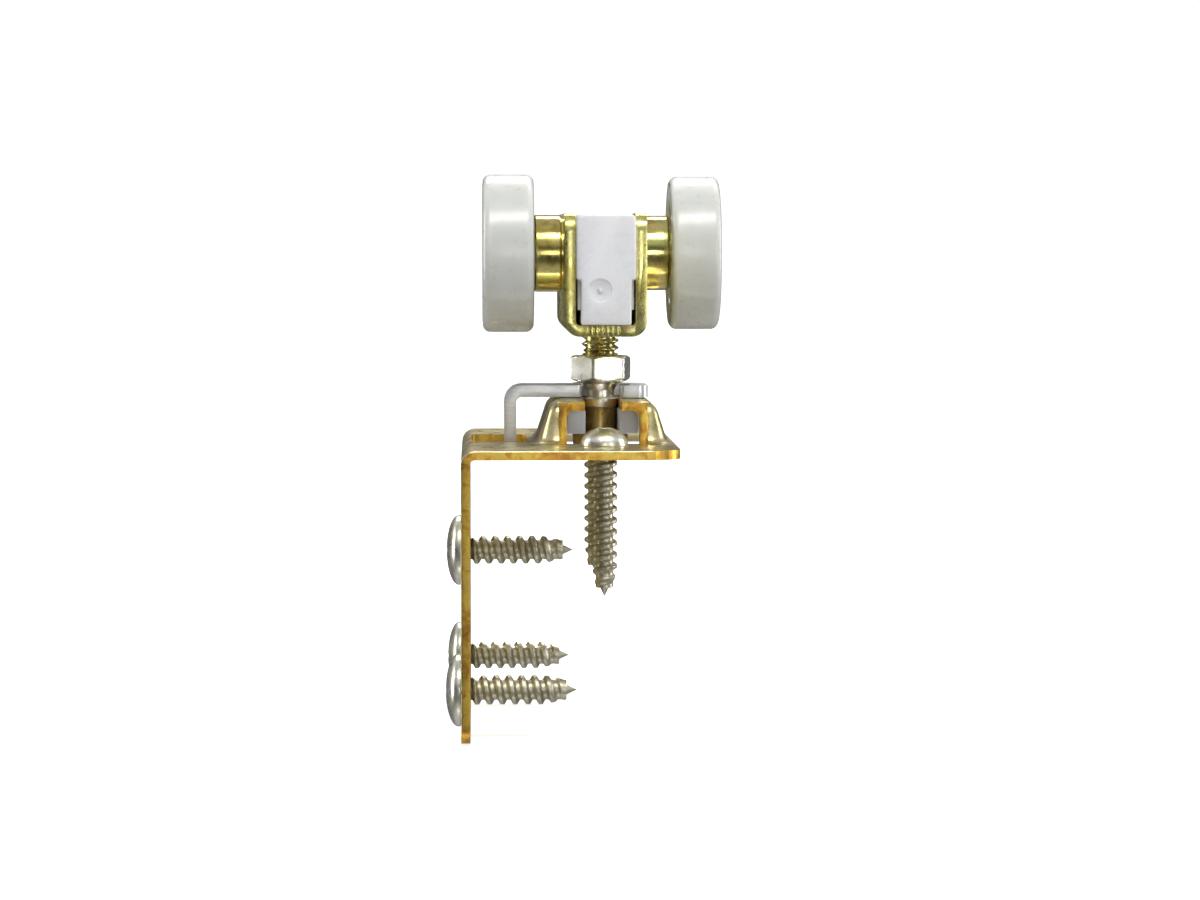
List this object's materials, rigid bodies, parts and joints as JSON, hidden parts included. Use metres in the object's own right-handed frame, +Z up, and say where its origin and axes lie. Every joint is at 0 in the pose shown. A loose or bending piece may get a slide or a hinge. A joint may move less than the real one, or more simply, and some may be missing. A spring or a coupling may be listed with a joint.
{
  "type": "sliding door roller",
  "caption": "Track carriage with ball-bearing nylon wheels that hangs an L-shaped door plate from an adjusting screw with a swing lock.",
  "frame": {"origin": "on the hanger screw's axis, in the plane of the door's top edge", "axes": "+X from the plate's side leg across the door's edge, +Y along the track, +Z up"},
  "size_m": [0.0464, 0.072, 0.0926],
  "materials": {
    "yellow_zinc": "iridescent yellow chromate zinc plate",
    "pale_zinc": "pale yellow chromate zinc plate",
    "bright_zinc": "bright zinc plate",
    "bearing_steel": "ground",
    "wheel_nylon": "translucent natural nylon",
    "white_nylon": "white nylon",
    "cage_nylon": "brown nylon"
  },
  "bodies": {
    "door_plate": {"door_plate": "yellow_zinc", "slot_liner": "white_nylon", "lever_rivet": "yellow_zinc", "lever_washer": "bright_zinc", "side_screw_upper": "pale_zinc", "side_screw_near": "pale_zinc", "side_screw_far": "pale_zinc", "top_screw_near": "pale_zinc", "top_screw_far": "pale_zinc"},
    "lock_lever": {"lock_lever": "bright_zinc"},
    "hanger_screw": {"hanger_screw": "pale_zinc"},
    "carriage": {"yoke": "yellow_zinc", "clinch_nut": "yellow_zinc", "bumper_block": "white_nylon", "axle_near_left": "yellow_zinc", "axle_far_left": "yellow_zinc", "axle_right": "yellow_zinc", "inner_ring_near_left": "bearing_steel", "inner_ring_far_left": "bearing_steel", "inner_ring_right": "bearing_steel"},
    "wheel_near_left": {"tyre_near_left": "wheel_nylon", "outer_ring_near_left": "bearing_steel"},
    "balls_near_left": {"ball_set_near_left": "bearing_steel", "cage_near_left": "cage_nylon"},
    "wheel_far_left": {"tyre_far_left": "wheel_nylon", "outer_ring_far_left": "bearing_steel"},
    "balls_far_left": {"ball_set_far_left": "bearing_steel", "cage_far_left": "cage_nylon"},
    "wheel_right": {"tyre_right": "wheel_nylon", "outer_ring_right": "bearing_steel"},
    "balls_right": {"ball_set_right": "bearing_steel", "cage_right": "cage_nylon"}
  },
  "joints": [
    {"name": "lever_swing", "type": "hinge", "parent": "door_plate", "child": "lock_lever", "pos_m": [0, 0.0095, 0.0098], "axis": [0, 0, -1], "range_deg": [0, 18]},
    {"name": "hanger_turn", "type": "hinge", "parent": "door_plate", "child": "hanger_screw", "pos_m": [0, 0, 0.005], "axis": [0, 0, 1], "range_deg": [-2160, 900]},
    {"name": "carriage_lift", "type": "slide", "parent": "door_plate", "child": "carriage", "axis": [0, 0, 1], "range_m": [-0.00317, 0.00761]},
    {"name": "wheel_spin_near_left", "type": "hinge", "parent": "carriage", "child": "wheel_near_left", "pos_m": [-0.0156, -0.01905, 0.0333], "axis": [1, 0, 0], "continuous": true},
    {"name": "ball_roll_near_left", "type": "hinge", "parent": "carriage", "child": "balls_near_left", "pos_m": [-0.0156, -0.01905, 0.0333], "axis": [1, 0, 0], "continuous": true},
    {"name": "wheel_spin_far_left", "type": "hinge", "parent": "carriage", "child": "wheel_far_left", "pos_m": [-0.0156, 0.01905, 0.0333], "axis": [1, 0, 0], "continuous": true},
    {"name": "ball_roll_far_left", "type": "hinge", "parent": "carriage", "child": "balls_far_left", "pos_m": [-0.0156, 0.01905, 0.0333], "axis": [1, 0, 0], "continuous": true},
    {"name": "wheel_spin_right", "type": "hinge", "parent": "carriage", "child": "wheel_right", "pos_m": [0.0156, 0, 0.0333], "axis": [1, 0, 0], "continuous": true},
    {"name": "ball_roll_right", "type": "hinge", "parent": "carriage", "child": "balls_right", "pos_m": [0.0156, 0, 0.0333], "axis": [1, 0, 0], "continuous": true}
  ],
  "couplings": [
    {"joint": "hanger_turn", "follows": "carriage_lift", "rad_per_m": -4947.4},
    {"joint": "ball_roll_near_left", "follows": "wheel_spin_near_left", "ratio": 0.6311},
    {"joint": "ball_roll_far_left", "follows": "wheel_spin_far_left", "ratio": 0.6311},
    {"joint": "ball_roll_right", "follows": "wheel_spin_right", "ratio": 0.6311}
  ]
}
